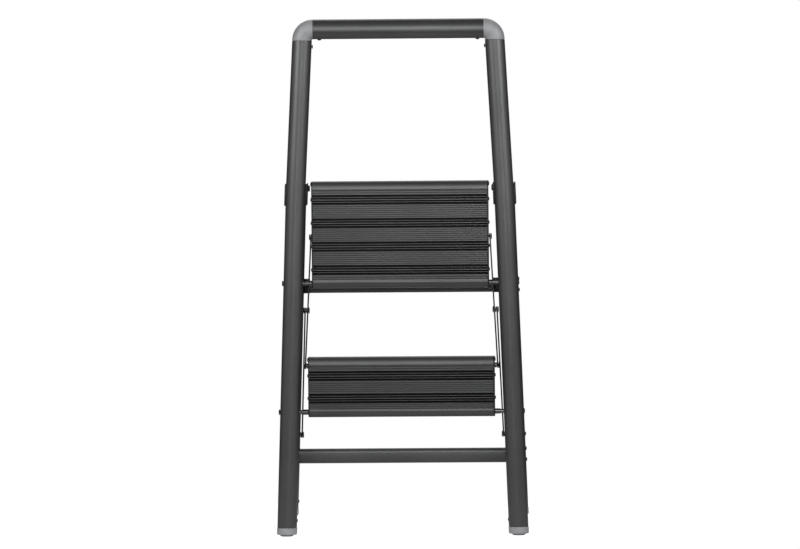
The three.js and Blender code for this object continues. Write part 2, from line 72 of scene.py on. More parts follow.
# The links are flat strips that lie at a slightly changing x between their pins.
PIN_RADIUS = 0.0025
LINK_THICKNESS = 0.0025
LINK_ARM = (0.0115, 0.0883)
TREAD_LINK_X = {"upper_tread": 0.1725, "lower_tread": 0.1854}
MIDDLE_PIVOT_Z = 0.435
BRACE_FOOT_Z = 0.1925
BRACE_X = {"top": 0.1850, "bottom": 0.1946}
HEAD_RADIUS = 0.0060
PIVOT_HEAD_RADIUS = 0.0062
SPACER_RADIUS = 0.0050
AXLE_RADIUS = 0.0042
SLEEVE_RADIUS = 0.0052

GAP = 0.0003
FOOT_HEIGHT = 0.0163
FOOT_RADIUS = 0.0196
SOLE_RADIUS = 0.0135
SOLE_STEP = 0.0033
SOLE_EDGE = 0.009
REAR_FOOT_Z = 0.0337
LEG_TOP = 0.6765

DECK_Y = -0.011
CREST_Y = -0.012
BACK_Y = 0.015
BACK_CORNER = 0.005
OVERHANG = 0.010
NOSE_RADIUS = 0.012
NOSE_HEIGHT = 0.015
CAP = 0.002
TREADS = {
    "upper_tread": {
        "axle": 0.488, "depth": 0.206, "half": 0.1703, "sleeve": 0.1752,
        "groups": (0.0258, 0.0709, 0.116, 0.1611),
    },
    "lower_tread": {
        "axle": 0.2395, "depth": 0.116, "half": 0.1796, "sleeve": 0.190,
        "groups": (0.0266, 0.07),
    },
}
GROOVE_PITCH = 0.0049
GROOVE_DEPTH = 0.0036
OUTER_GROOVE = 0.0042
INNER_GROOVE = 0.0029
GROUP_HALF = 0.0095
RIBS_START = 0.0118
RIB_PITCH = 0.004
RIB_DEPTH = 0.0008

FLOOR_RADIUS = 0.8
FLOOR_GLOW = 0.55
ROOM_LIGHT = 0.03


def between(value, low, high):
    return low[1] + (high[1] - low[1]) * (value - low[0]) / (high[0] - low[0])


def spread_at(z):
    """Half the distance between the tube centre lines at height z."""
    foot, hinge, top = SPREAD
    return between(z, foot, hinge) if z < hinge[0] else between(z, hinge, top)


# ---------------------------------------------------------------- materials

def principled(name, color, metallic, roughness, specular=0.5):
    material = bpy.data.materials.new(name)
    material.use_nodes = True
    shader = material.node_tree.nodes["Principled BSDF"]
    shader.inputs["Base Color"].default_value = (*color, 1)
    shader.inputs["Metallic"].default_value = metallic
    shader.inputs["Roughness"].default_value = roughness
    shader.inputs["Specular IOR Level"].default_value = specular
    return material, shader


def scaled_noise(tree, scale, detail, stretch=(1, 1, 1)):
    """A noise pattern fixed to the piece; stretch multiplies its frequency along each axis."""
    place = tree.nodes.new("ShaderNodeTexCoord")
    mapping = tree.nodes.new("ShaderNodeMapping")
    mapping.inputs["Scale"].default_value = stretch
    noise = tree.nodes.new("ShaderNodeTexNoise")
    noise.inputs["Scale"].default_value = scale
    noise.inputs["Detail"].default_value = detail
    tree.links.new(place.outputs["Object"], mapping.inputs["Vector"])
    tree.links.new(mapping.outputs["Vector"], noise.inputs["Vector"])
    return noise.outputs["Fac"]


def ranged(tree, value, low, high, start=0.3, end=0.7):
    node = tree.nodes.new("ShaderNodeMapRange")
    node.inputs["From Min"].default_value = start
    node.inputs["From Max"].default_value = end
    node.inputs["To Min"].default_value = low
    node.inputs["To Max"].default_value = high
    tree.links.new(value, node.inputs["Value"])
    return node.outputs["Result"]


def mixed_colour(tree, factor, dark, light):
    node = tree.nodes.new("ShaderNodeMix")
    node.data_type = "RGBA"
    node.inputs["A"].default_value = (*dark, 1)
    node.inputs["B"].default_value = (*light, 1)
    tree.links.new(factor, node.inputs["Factor"])
    return node.outputs["Result"]


def bumped(tree, shader, heights):
    """Chains bump nodes into the shader; heights are (pattern, strength, distance)."""
    normal = None
    for pattern, strength, distance in heights:
        bump = tree.nodes.new("ShaderNodeBump")
        bump.inputs["Strength"].default_value = strength
        bump.inputs["Distance"].default_value = distance
        tree.links.new(pattern, bump.inputs["Height"])
        if normal is not None:
            tree.links.new(normal, bump.inputs["Normal"])
        normal = bump.outputs["Normal"]
    tree.links.new(normal, shader.inputs["Normal"])


def edge_wear(tree, low, high):
    """Near 1 on convex edges, 0 elsewhere, broken up by noise."""
    geometry = tree.nodes.new("ShaderNodeNewGeometry")
    edge = ranged(tree, geometry.outputs["Pointiness"], 0, 1, low, high)
    patches = ranged(tree, scaled_noise(tree, 300, 3), 0, 1, 0.45, 0.65)
    node = tree.nodes.new("ShaderNodeMath")
    node.operation = "MULTIPLY"
    tree.links.new(edge, node.inputs[0])
    tree.links.new(patches, node.inputs[1])
    return node.outputs["Value"]


def anodised(name, along, tone):
    """Dark satin anodised extrusion, with fine die lines running along one axis."""
    material, shader = principled(name, (tone,) * 3, 0.75, 0.42)
    tree = material.node_tree
    lines = [1.0, 1.0, 1.0]
    lines["xyz".index(along)] = 0.006
    die_lines = scaled_noise(tree, 1600, 2, lines)
    clouds = scaled_noise(tree, 9, 4)
    grain = scaled_noise(tree, 5200, 2)
    dark = (tone * 0.9, tone * 0.91, tone * 0.93)
    light = (tone * 1.1, tone * 1.11, tone * 1.12)
    body = mixed_colour(tree, ranged(tree, clouds, 0, 1), dark, light)
    tree.links.new(body, shader.inputs["Base Color"])
    tree.links.new(ranged(tree, die_lines, 0.38, 0.45), shader.inputs["Roughness"])
    bumped(tree, shader, [(die_lines, 0.03, 0.0001), (grain, 0.03, 0.00005)])
    return material


def moulded(name, color, roughness, grain_scale, grain_strength, specular=0.4):
    """Moulded plastic with a fine spark-eroded grain and slightly uneven colour."""
    material, shader = principled(name, color, 0, roughness, specular)
    tree = material.node_tree
    clouds = scaled_noise(tree, 60, 4)
    dark = tuple(c * 0.9 for c in color)
    light = tuple(c * 1.1 for c in color)
    tree.links.new(mixed_colour(tree, ranged(tree, clouds, 0, 1), dark, light),
                   shader.inputs["Base Color"])
    grain = scaled_noise(tree, grain_scale, 3)
    tree.links.new(ranged(tree, grain, roughness - 0.08, roughness + 0.08),
                   shader.inputs["Roughness"])
    bumped(tree, shader, [(grain, grain_strength, 0.0002), (clouds, 0.1, 0.0003)])
    return material


def coated_steel(name, color, roughness):
    """Black coated steel with a slight orange peel and bare metal on its edges."""
    material, shader = principled(name, color, 0.3, roughness)
    tree = material.node_tree
    peel = scaled_noise(tree, 700, 3)
    worn = mixed_colour(tree, edge_wear(tree, 0.54, 0.66), color, (0.12, 0.12, 0.125))
    tree.links.new(worn, shader.inputs["Base Color"])
    tree.links.new(ranged(tree, peel, roughness - 0.06, roughness + 0.1),
                   shader.inputs["Roughness"])
    bumped(tree, shader, [(peel, 0.15, 0.0003)])
    return material


def drawn_steel(name):
    """Dull zinc-plated rod, with turning marks around it."""
    material, shader = principled(name, (0.09, 0.09, 0.095), 1, 0.3)
    tree = material.node_tree
    marks = scaled_noise(tree, 900, 2, (1, 0.1, 0.1))
    clouds = ranged(tree, scaled_noise(tree, 60, 3), 0, 1)
    tree.links.new(mixed_colour(tree, clouds, (0.075, 0.075, 0.08), (0.105, 0.105, 0.11)),
                   shader.inputs["Base Color"])
    tree.links.new(ranged(tree, marks, 0.27, 0.33), shader.inputs["Roughness"])
    bumped(tree, shader, [(marks, 0.02, 0.00005)])
    return material


TUBE_TONE = 0.065
TUBE_UP = anodised("anodised_tube_upright", "z", TUBE_TONE)
TUBE_ACROSS = anodised("anodised_tube_across", "x", TUBE_TONE)
TREAD_METAL = anodised("anodised_tread", "x", 0.062)
# Near black for the walls and floors of the grip grooves, on the moulded-plastic recipe: painted
# shade in the recesses.
GROOVE_PAINTED_SHADE = moulded("groove_painted_shade", (0.004, 0.004, 0.004), 0.8, 900, 0.2, 0.1)
GREY_PLASTIC = moulded("grey_plastic", (0.15, 0.152, 0.157), 0.5, 1500, 0.18)
FOOT_PLASTIC = moulded("foot_plastic", (0.21, 0.212, 0.217), 0.5, 1500, 0.18)
BLACK_PLASTIC = moulded("black_plastic", (0.006, 0.006, 0.0065), 0.45, 1300, 0.2, 0.3)
BLACK_STEEL = coated_steel("black_steel", (0.008, 0.008, 0.0085), 0.28)
BARE_STEEL = drawn_steel("bare_steel")


# ---------------------------------------------------------------- mesh helpers

def finished(name, mesh_data, material, body, replaced, bevel=0.0):
    """Turns a bmesh into a smooth-shaded piece that rides on a body in place of CAD nodes."""
    bmesh.ops.remove_doubles(mesh_data, verts=mesh_data.verts, dist=1e-7)
    bmesh.ops.recalc_face_normals(mesh_data, faces=mesh_data.faces)
    mesh = bpy.data.meshes.new(name)
    mesh_data.to_mesh(mesh)
    mesh_data.free()
    mesh.polygons.foreach_set("use_smooth", [True] * len(mesh.polygons))
    mesh.set_sharp_from_angle(angle=math.radians(32))
    piece = bpy.data.objects.new(name, mesh)
    bpy.context.scene.collection.objects.link(piece)
    mesh.materials.append(material)
    if bevel:
        round_edges(piece, bevel)
    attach(piece, body)
    if replaced:
        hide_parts(*replaced)
    return piece


def round_edges(piece, width, angle=40):
    bevel = piece.modifiers.new("round_edges", "BEVEL")
    bevel.width = width
    bevel.segments = 2
    bevel.limit_method = "ANGLE"
    bevel.angle_limit = math.radians(angle)
    bevel.harden_normals = True


def rings_mesh(rings, closed=False):
    """Quads between rings of equal length; closed joins the last ring to the first."""
    mesh = bmesh.new()
    rows = [[mesh.verts.new(p) for p in ring] for ring in rings]
    pairs = list(zip(rows, rows[1:]))
    if closed:
        pairs.append((rows[-1], rows[0]))
    for low, high in pairs:
        for i in range(len(low)):
            j = (i + 1) % len(low)
            mesh.faces.new((low[i], low[j], high[j], high[i]))
    if not closed:
        mesh.faces.new(rows[0])
        mesh.faces.new(rows[-1])
    return mesh


def round_points(radius, count):
    """Points of a full circle, as (right, up) pairs."""
    turns = [2 * math.pi * i / count for i in range(count)]
    return [(radius * math.cos(turn), radius * math.sin(turn)) for turn in turns]


def tube_ring(side, y, radius, z):
    """One level ring on a frame tube's own centre line."""
    x = side * spread_at(z)
    return [Vector((x + right, y + back, z)) for right, back in round_points(radius, TUBE_POINTS)]


def frame_tube(side, y, low, high):
    """An open tube with rounded lips that follows the frame's splay and bend."""
    lip = TUBE_LIP
    heights = [low + lip, (low + high) / 4, HINGE_Z - BEND_REACH, HINGE_Z]
    if high > HINGE_Z + BEND_REACH:
        heights.append(HINGE_Z + BEND_REACH)
    heights.append(high - lip)
    outside = [(TUBE_RADIUS, z) for z in heights]
    inside = [(TUBE_BORE, z) for z in reversed(heights)]
    middle = (TUBE_RADIUS + TUBE_BORE) / 2
    profile = outside + [(TUBE_RADIUS - lip, high), (middle, high), (TUBE_BORE + lip / 2, high)]
    profile += inside + [(TUBE_BORE + lip / 2, low), (middle, low), (TUBE_RADIUS - lip, low)]
    return rings_mesh([tube_ring(side, y, r, z) for r, z in profile], closed=True)


def turned(axis_point, direction, profile):
    """A solid of revolution: profile is (distance along direction, radius) from tip to tip."""
    turn = Vector((0, 0, 1)).rotation_difference(Vector(direction).normalized())
    origin = Vector(axis_point)
    return rings_mesh([
        [
            origin + turn @ Vector((right, up, along))
            for right, up in round_points(radius, PIN_POINTS)
        ]
        for along, radius in profile
    ])


def dome(start, radius, height):
    """Profile points of a domed head that rises from start to start plus height."""
    steps = 5
    points = []
    for i in range(steps + 1):
        angle = math.pi / 2 * i / (steps + 0.5)
        points.append((start + height * math.sin(angle), radius * math.cos(angle)))
    return points


def mirrored_profile(points):
    return [(-along, radius) for along, radius in reversed(points)]


def arc(y, z, radius, start, end, steps):
    """Points of a circular arc in the (y, z) plane; angles are in quarter turns."""
    points = []
    for i in range(steps + 1):
        angle = math.pi / 2 * (start + (end - start) * i / steps)
        points.append((y + radius * math.cos(angle), z + radius * math.sin(angle)))
    return points


def rounded_rectangle(y, z, depth, height, corner, steps=6):
    y0, y1 = y - depth / 2 + corner, y + depth / 2 - corner
    z0, z1 = z - height / 2 + corner, z + height / 2 - corner
    return (
        arc(y1, z1, corner, 0, 1, steps) + arc(y0, z1, corner, 1, 2, steps)
        + arc(y0, z0, corner, 2, 3, steps) + arc(y1, z0, corner, 3, 4, steps)
    )


def across(loops, x0, x1):
    """Extrudes (y, z) outlines, the first one solid and the rest holes, from x0 to x1."""
    mesh = bmesh.new()
    edges = []
    for loop in loops:
        verts = [mesh.verts.new((x0, y, z)) for y, z in loop]
        edges += [mesh.edges.new((verts[i - 1], verts[i])) for i in range(len(verts))]
    bmesh.ops.triangle_fill(mesh, use_beauty=True, use_dissolve=False, edges=edges)
    made = bmesh.ops.extrude_face_region(mesh, geom=mesh.faces[:])
    moved = [v for v in made["geom"] if isinstance(v, bmesh.types.BMVert)]
    bmesh.ops.translate(mesh, verts=moved, vec=(x1 - x0, 0, 0))
    return mesh


# ---------------------------------------------------------------- frame tubes

def front_rail(word, side):
    top = BAR_Z - ELBOW_RADIUS - GAP
    mesh = frame_tube(side, FRONT_Y, FOOT_HEIGHT + GAP, top)
    name = f"{word}_front_rail"
    finished(f"{name}_tube", mesh, TUBE_UP, "front_frame", [name])


def rear_leg(word, side):
    mesh = frame_tube(side, REAR_Y, REAR_FOOT_Z + FOOT_HEIGHT + GAP, LEG_TOP)
    name = f"{word}_rear_leg"
    finished(f"{name}_tube", mesh, TUBE_UP, "rear_frame", [name])


def top_bar():
    half = spread_at(BAR_Z - ELBOW_RADIUS) - ELBOW_RADIUS - GAP
    lip = TUBE_LIP
    outside = [(-half, TUBE_RADIUS - lip), (lip - half, TUBE_RADIUS), (0, TUBE_RADIUS)]
    outside += [(half - lip, TUBE_RADIUS), (half, TUBE_RADIUS - lip)]
    inside = [(half, TUBE_BORE), (0, TUBE_BORE), (-half, TUBE_BORE)]
    rings = [
        [Vector((x, FRONT_Y + back, BAR_Z + up)) for back, up in round_points(radius, TUBE_POINTS)]
        for x, radius in outside + inside
    ]
    mesh = rings_mesh(rings, closed=True)
    finished("top_handle_bar_tube", mesh, TUBE_ACROSS, "front_frame",
             ["top_handle_bar"])


def corner_elbow(word, side):
    """A quarter bend with a slight parting flange at each mouth."""
    middle_x = spread_at(BAR_Z - ELBOW_RADIUS) - ELBOW_RADIUS
    middle_z = BAR_Z - ELBOW_RADIUS
    spigot = TUBE_BORE - GAP
    lip = 0.0005
    reach = 0.02
    steps = 28

    def ring(angle, radius, shift=0.0):
        centre_x = middle_x + ELBOW_RADIUS * math.cos(angle) - shift * math.sin(angle)
        centre_z = middle_z + ELBOW_RADIUS * math.sin(angle) + shift * math.cos(angle)
        return [
            Vector((
                side * (centre_x + out * math.cos(angle)),
                FRONT_Y + back,
                centre_z + out * math.sin(angle),
            ))
            for out, back in round_points(radius, TUBE_POINTS)
        ]

    end = math.pi / 2
    rings = [ring(0, spigot, -reach), ring(0, spigot), ring(0, TUBE_RADIUS - lip)]
    rings += [ring(end * i / steps, TUBE_RADIUS) for i in range(1, steps)]
    rings += [ring(end, TUBE_RADIUS - lip), ring(end, spigot), ring(end, spigot, reach)]
    name = f"{word}_corner_elbow"
    finished(f"{name}_moulding", rings_mesh(rings), GREY_PLASTIC, "front_frame",
             [name])


def tube_foot(word, side, end, y, bottom, lean, heel, body):
    """A capped foot whose underside is cut on the slant the tube has when open."""
    lip = 0.0007
    shoulder = bottom + SOLE_STEP
    top = bottom + FOOT_HEIGHT
    spigot = TUBE_BORE - GAP
    profile = [
        (SOLE_RADIUS - lip, bottom), (SOLE_RADIUS, bottom + lip), (SOLE_RADIUS, shoulder),
        (FOOT_RADIUS - 0.001, shoulder), (FOOT_RADIUS - 0.0002, shoulder + 0.0014),
        (FOOT_RADIUS, shoulder + 0.003), (FOOT_RADIUS, top - lip), (FOOT_RADIUS - lip, top),
        (spigot, top), (spigot, top + 0.02),
    ]
    mesh = rings_mesh([tube_ring(side, y, r, z) for r, z in profile])
    slope = math.radians(lean)
    cut = bmesh.ops.bisect_plane(
        mesh, geom=mesh.verts[:] + mesh.edges[:] + mesh.faces[:],
        plane_co=(0, y - heel * SOLE_EDGE, bottom),
        plane_no=(0, -heel * math.sin(slope), math.cos(slope)),
        clear_inner=True,
    )
    open_edges = [e for e in cut["geom_cut"] if isinstance(e, bmesh.types.BMEdge)]
    bmesh.ops.contextual_create(mesh, geom=open_edges)
    name = f"{word}_{end}_foot"
    finished(f"{name}_cap", mesh, FOOT_PLASTIC, body, [name], bevel=0.0004)


# ---------------------------------------------------------------- treads

def groove(z, width):
    """Outline points of one grip groove with eased corners, from top to bottom."""
    half = width / 2
    ease = 0.00025
    floor = DECK_Y + GROOVE_DEPTH
    return [
        (DECK_Y, z + half + ease), (DECK_Y + ease, z + half),
        (floor, z + half * 0.8), (floor, z - half * 0.8),
        (DECK_Y + ease, z - half), (DECK_Y, z - half - ease),
    ]


def rib_cut(z):
    """Outline points of one shallow cut between two fine ribs."""
    floor = DECK_Y + RIB_DEPTH
    return [(DECK_Y, z + 0.0010), (floor, z + 0.0001), (floor, z - 0.0001), (DECK_Y, z - 0.0010)]


def deck_features(tread):
    """Every groove and rib cut of the standing surface as (height, points)."""
    features = []
    for centre in tread["groups"]:
        for step in (-1.5, -0.5, 0.5, 1.5):
            z = centre + step * GROOVE_PITCH
            features.append((z, groove(z, OUTER_GROOVE if abs(step) > 1 else INNER_GROOVE)))
    low, high = -OVERHANG, tread["depth"] - OVERHANG
    edges = [low + 0.0045, *tread["groups"], high - 0.0045]
    for below, above in zip(edges, edges[1:]):
        start, end = below + RIBS_START, above - RIBS_START
        count = max(int((end - start) / RIB_PITCH), 0)
        first = (start + end - count * RIB_PITCH) / 2
        for i in range(count + 1):
            z = first + i * RIB_PITCH
            features.append((z, rib_cut(z)))
    return sorted(features, key=lambda f: -f[0])


def nose(middle_y, high):
    """The rounded upper front edge: a quarter of an ellipse from the top face to the crest."""
    points = []
    for i in range(EDGE_POINTS + 1):
        angle = math.pi / 2 * (1 + i / EDGE_POINTS)
        points.append((
            middle_y + NOSE_RADIUS * math.cos(angle),
            high - NOSE_HEIGHT + NOSE_HEIGHT * math.sin(angle),
        ))
    return points


def back_outline(low, high):
    """The two rounded edges of the tread's underside, from the lower one up."""
    steps = EDGE_POINTS // 2
    lower = arc(BACK_Y - BACK_CORNER, low + BACK_CORNER, BACK_CORNER, 3, 4, steps)
    upper = arc(BACK_Y - BACK_CORNER, high - BACK_CORNER, BACK_CORNER, 0, 1, steps)
    return lower + upper


def lower_edge(middle_y, low):
    """The rounded lower front edge."""
    return arc(middle_y, low + NOSE_RADIUS, NOSE_RADIUS, 2, 3, EDGE_POINTS)


def plank_outline(tread):
    """The tread's section as (y, z) points round its axle, with every groove and rib cut."""
    low, high = -OVERHANG, tread["depth"] - OVERHANG
    middle_y = CREST_Y + NOSE_RADIUS
    points = back_outline(low, high) + nose(middle_y, high)
    points += [(CREST_Y + 0.0003, high - 0.0153), (DECK_Y - 0.0002, high - 0.0158)]
    points += [(DECK_Y, high - 0.0162)]
    for _, feature in deck_features(tread):
        points += feature
    points += [(DECK_Y, low + 0.0158), (CREST_Y + 0.0005, low + 0.0146), (CREST_Y, low + 0.0132)]
    return points + lower_edge(middle_y, low)


def cap_outline(tread):
    """The tread's section without its grooves."""
    low, high = -OVERHANG, tread["depth"] - OVERHANG
    middle_y = CREST_Y + NOSE_RADIUS
    return back_outline(low, high) + nose(middle_y, high) + lower_edge(middle_y, low)


def plank_cells(tread):
    """The hollow cells of the extrusion, one behind each group of grooves."""
    wall = 0.002
    deck = 0.005
    walls = [wall - OVERHANG]
    for below, above in zip(tread["groups"], tread["groups"][1:]):
        web = (below + above) / 2
        walls += [web - wall / 2, web + wall / 2]
    walls.append(tread["depth"] - OVERHANG - wall)
    low_y, high_y = DECK_Y + deck, BACK_Y - wall
    middle_y, depth = (low_y + high_y) / 2, high_y - low_y
    return [
        rounded_rectangle(middle_y, (low + high) / 2, depth, high - low, 0.002, 3)
        for low, high in zip(walls[::2], walls[1::2])
    ]


def shifted(points, z):
    return [(y + FRONT_Y, height + z) for y, height in points]


def paint_groove_shade(mesh, tread):
    """Gives the walls and floors of the grip grooves the second, near-black material: painted
    shade in the grooves.
    """
    mesh.normal_update()
    shallow = FRONT_Y + DECK_Y + RIB_DEPTH
    deep = FRONT_Y + DECK_Y + GROOVE_DEPTH + 0.0001
    for face in mesh.faces:
        middle = face.calc_center_median()
        nearest = min(abs(middle.z - tread["axle"] - centre) for centre in tread["groups"])
        if abs(face.normal.x) < 0.5 and shallow < middle.y < deep and nearest < GROUP_HALF:
            face.material_index = 1


def tread_pieces(name, tread):
    half = tread["half"] - CAP - GAP
    loops = [plank_outline(tread)] + plank_cells(tread)
    mesh = across([shifted(loop, tread["axle"]) for loop in loops], -half, half)
    paint_groove_shade(mesh, tread)
    plank = finished(f"{name}_extrusion", mesh, TREAD_METAL, name, [f"{name}_plank"])
    # The second, near-black material is painted shade in the grip grooves.
    plank.data.materials.append(GROOVE_PAINTED_SHADE)
    for word, side in SIDES:
        loops = [cap_outline(tread), round_points(AXLE_RADIUS + GAP, PIN_POINTS)]
        inner, outer = sorted((side * tread["half"], side * (tread["half"] - CAP)))
        mesh = across([shifted(loop, tread["axle"]) for loop in loops], inner, outer)
        finished(f"{word}_{name}_end_plate", mesh, BLACK_PLASTIC, name,
                 [f"{word}_{name}_cap"], bevel=0.0007)


# ---------------------------------------------------------------- rear crossbars

def box_tube(bar, half):
    """A rounded box tube across the rear frame."""
    wall = BOX_WALL
    z, height, corner = bar["z"], bar["height"], bar["corner"]
    outside = rounded_rectangle(REAR_Y, z, BOX_DEPTH, height, corner)
    bore = rounded_rectangle(REAR_Y, z, BOX_DEPTH - 2 * wall, height - 2 * wall, corner - wall)
    return across([outside, bore], -half, half)


def lower_crossbar():
    """Its ends are coped to the legs: each point slides along x up to the leg's wall."""
    mesh = box_tube(LOWER_BAR, 1)
    for vert in mesh.verts:
        offset = vert.co.y - REAR_Y
        reach = TUBE_RADIUS + GAP
        end = spread_at(vert.co.z) - math.sqrt(reach * reach - offset * offset)
        vert.co.x = math.copysign(end, vert.co.x)
    finished("lower_rear_crossbar_tube", mesh, TUBE_ACROSS, "rear_frame",
             ["lower_rear_crossbar"])


def upper_crossbar():
    mesh = box_tube(UPPER_BAR, UPPER_BAR["half"])
    finished("upper_rear_crossbar_tube", mesh, TUBE_ACROSS, "rear_frame",
             ["upper_rear_crossbar"])


# ---------------------------------------------------------------- pins and fasteners

def stepped(name, y, z, side, steps, body, cad_node):
    """A pin along X from (distance, radius) steps, with domed ends."""
    start, end = steps[0], steps[-1]
    profile = mirrored_profile(dome(-start[0], start[1], 0.001))
    profile += steps[1:-1]
    profile += dome(end[0], end[1], 0.0012)
    mesh = turned((0, y, z), (side, 0, 0), profile)
    return finished(name, mesh, BLACK_STEEL, body, [cad_node], bevel=0.00015)


def brighten(piece, side, near, far):
    """Gives the stretch of a pin between two distances from the middle a bare steel surface."""
    piece.data.materials.append(BARE_STEEL)
    for face in piece.data.polygons:
        if near < side * face.center.x < far:
            face.material_index = 1


def axle(name, tread):
    """The rod through a tread, with a riveted head outside each rail and two sleeves."""
    z = tread["axle"]
    ease = 0.0003
    start, end = tread["half"] + GAP, tread["sleeve"]
    reach = spread_at(z) + TUBE_RADIUS + 0.0008
    half = [
        (0, AXLE_RADIUS), (start, AXLE_RADIUS), (start, SLEEVE_RADIUS - 0.0002),
        (start + ease, SLEEVE_RADIUS), (end - ease, SLEEVE_RADIUS),
        (end, SLEEVE_RADIUS - 0.0002), (end, AXLE_RADIUS), (spread_at(z), AXLE_RADIUS),
        (reach, AXLE_RADIUS), (reach, 0.0056),
    ] + dome(reach + 0.0004, 0.0058, 0.0019)
    profile = mirrored_profile(half[1:]) + half
    mesh = turned((0, FRONT_Y, z), (1, 0, 0), profile)
    rod = finished(f"{name}_rod", mesh, BLACK_STEEL, "front_frame", [name])
    brighten(rod, 1, -spread_at(z), spread_at(z))


def hinge_pin(word, side):
    middle = spread_at(HINGE_Z)
    half = TUBE_RADIUS + 0.0025
    inner, outer = middle - half - 2 * GAP, middle + half - GAP
    profile = mirrored_profile(dome(0.0024 - inner, HEAD_RADIUS, 0.0011))
    profile += [(inner - 0.0002, HEAD_RADIUS), (inner, HEAD_RADIUS - 0.0002), (inner, AXLE_RADIUS)]
    profile += [(outer - 0.0003, AXLE_RADIUS), (outer, AXLE_RADIUS - 0.0003)]
    mesh = turned((0, REAR_Y, HINGE_Z), (side, 0, 0), profile)
    finished(f"{word}_hinge_pin_rivet", mesh, BLACK_STEEL, "front_frame",
             [f"{word}_hinge_pin"])


def screw(name, point, direction, radius, height, body, cad_node=None, recess=True):
    """A domed head with a cross recess, or a plain rivet dome, and its short shank."""
    count = 40
    rows = 14
    turn = Vector((0, 0, 1)).rotation_difference(Vector(direction).normalized())
    rings = [(radius * 0.45, -0.003), (radius * 0.45, 0.0), (radius * 0.92, 0.0)]
    rings.append((radius, height * 0.12))
    for i in range(1, rows):
        angle = math.pi / 2 * i / rows
        rings.append((radius * math.cos(angle), height * (0.12 + 0.88 * math.sin(angle))))
    mesh_rings = []
    for ring_radius, rise in rings:
        points = []
        for i in range(count):
            angle = 2 * math.pi * i / count
            x, y = ring_radius * math.cos(angle), ring_radius * math.sin(angle)
            in_slot = min(abs(x), abs(y)) < radius * 0.13 and math.hypot(x, y) < radius * 0.62
            depth = height * 0.45 if recess and in_slot and rise > height * 0.5 else 0.0
            points.append(Vector(point) + turn @ Vector((x, y, rise - depth)))
        mesh_rings.append(points)
    finished(name, rings_mesh(mesh_rings), BLACK_STEEL, body,
             [cad_node] if cad_node else ())


def fasteners():
    bar_x = spread_at(BAR_Z - ELBOW_RADIUS) - ELBOW_RADIUS - GAP - SCREW_INSET
    rail_z = BAR_Z - ELBOW_RADIUS - GAP - SCREW_INSET
    for word, side in SIDES:
        screw(f"{word}_bar_screw", (side * bar_x, FRONT_Y, BAR_Z - TUBE_RADIUS - GAP),
              (0, 0, -1), 0.004, 0.0022, "front_frame", f"{word}_elbow_bar_screw")
        screw(f"{word}_rail_screw",
              (side * (spread_at(rail_z) - TUBE_RADIUS - 0.0005), FRONT_Y, rail_z),
              (-side, 0, 0), 0.004, 0.0022, "front_frame", f"{word}_elbow_rail_screw")
        for index, z in enumerate(LOWER_RIVETS + UPPER_RIVETS + (BRACE_FOOT_Z,), 1):
            cad_node = f"{word}_crossbar_rivet_{index}" if z in LOWER_RIVETS else None
            screw(f"{word}_leg_rivet_{index}",
                  (side * (spread_at(z) + TUBE_RADIUS + 0.0001), REAR_Y, z), (side, 0, 0),
                  0.004, 0.002, "rear_frame", cad_node, recess=False)
        for name, tread in TREADS.items():
            corner_z = tread["axle"] + tread["depth"] - OVERHANG - 0.0054
            screw(f"{word}_{name}_cap_buffer", (side * tread["half"], FRONT_Y + 0.002, corner_z),
                  (side, 0, 0), 0.0044, 0.0022, name, recess=False)
            for index, z in enumerate(tread["groups"], 1):
                screw(f"{word}_{name}_cap_screw_{index}",
                      (side * (tread["half"] + 0.0001), FRONT_Y, tread["axle"] + z),
                      (side, 0, 0), 0.0036, 0.0022, name, f"{word}_{name}_screw_{index}")
        for end, y, z, body in (
            ("front", FRONT_Y, 0.030, "front_frame"),
            ("rear", REAR_Y, REAR_FOOT_Z + 0.030, "rear_frame"),
        ):
            screw(f"{word}_{end}_foot_rivet", (side * (spread_at(z) - TUBE_RADIUS), y, z),
                  (-side, 0, 0), 0.0032, 0.0014, body, recess=False)


# ---------------------------------------------------------------- kept CAD pieces

def dressed(node, material, bevel):
    """Welds, smooths and softens a CAD node for looks, and gives it its material."""
    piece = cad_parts[node]
    piece.data.materials.clear()
    piece.data.materials.append(material)
    piece.data.polygons.foreach_set("use_smooth", [True] * len(piece.data.polygons))
    weld = piece.modifiers.new("weld", "WELD")
    weld.merge_threshold = 1e-6
    round_edges(piece, bevel, angle=30)


def link_pin(word, side, level):
    """The pin from a tread's end cap through the tread link, with a spacer if there is room."""
    tread_name = f"{level}_tread"
    tread = TREADS[tread_name]
    link_x = TREAD_LINK_X[tread_name]
    back, up = LINK_ARM
    inner = tread["half"] + GAP
    face = link_x - LINK_THICKNESS / 2 - 0.0006
    head = link_x + LINK_THICKNESS / 2 + 0.0006
    steps = [(tread["half"] - CAP + GAP, PIN_RADIUS), (inner, PIN_RADIUS)]
    spaced = face - tread["half"] > 0.002
    if spaced:
        steps += [(inner, SPACER_RADIUS), (face, SPACER_RADIUS), (face, PIN_RADIUS)]
    steps += [(head, PIN_RADIUS), (head, HEAD_RADIUS - 0.0002), (head + 0.0008, HEAD_RADIUS)]
    pin = stepped(f"{word}_{level}_link_rivet", FRONT_Y + back, tread["axle"] + up, side,
                  steps, tread_name, f"{word}_{level}_link_pin")
    near, far = (tread["half"], face) if spaced else (head, head + 0.003)
    brighten(pin, side, near, far)


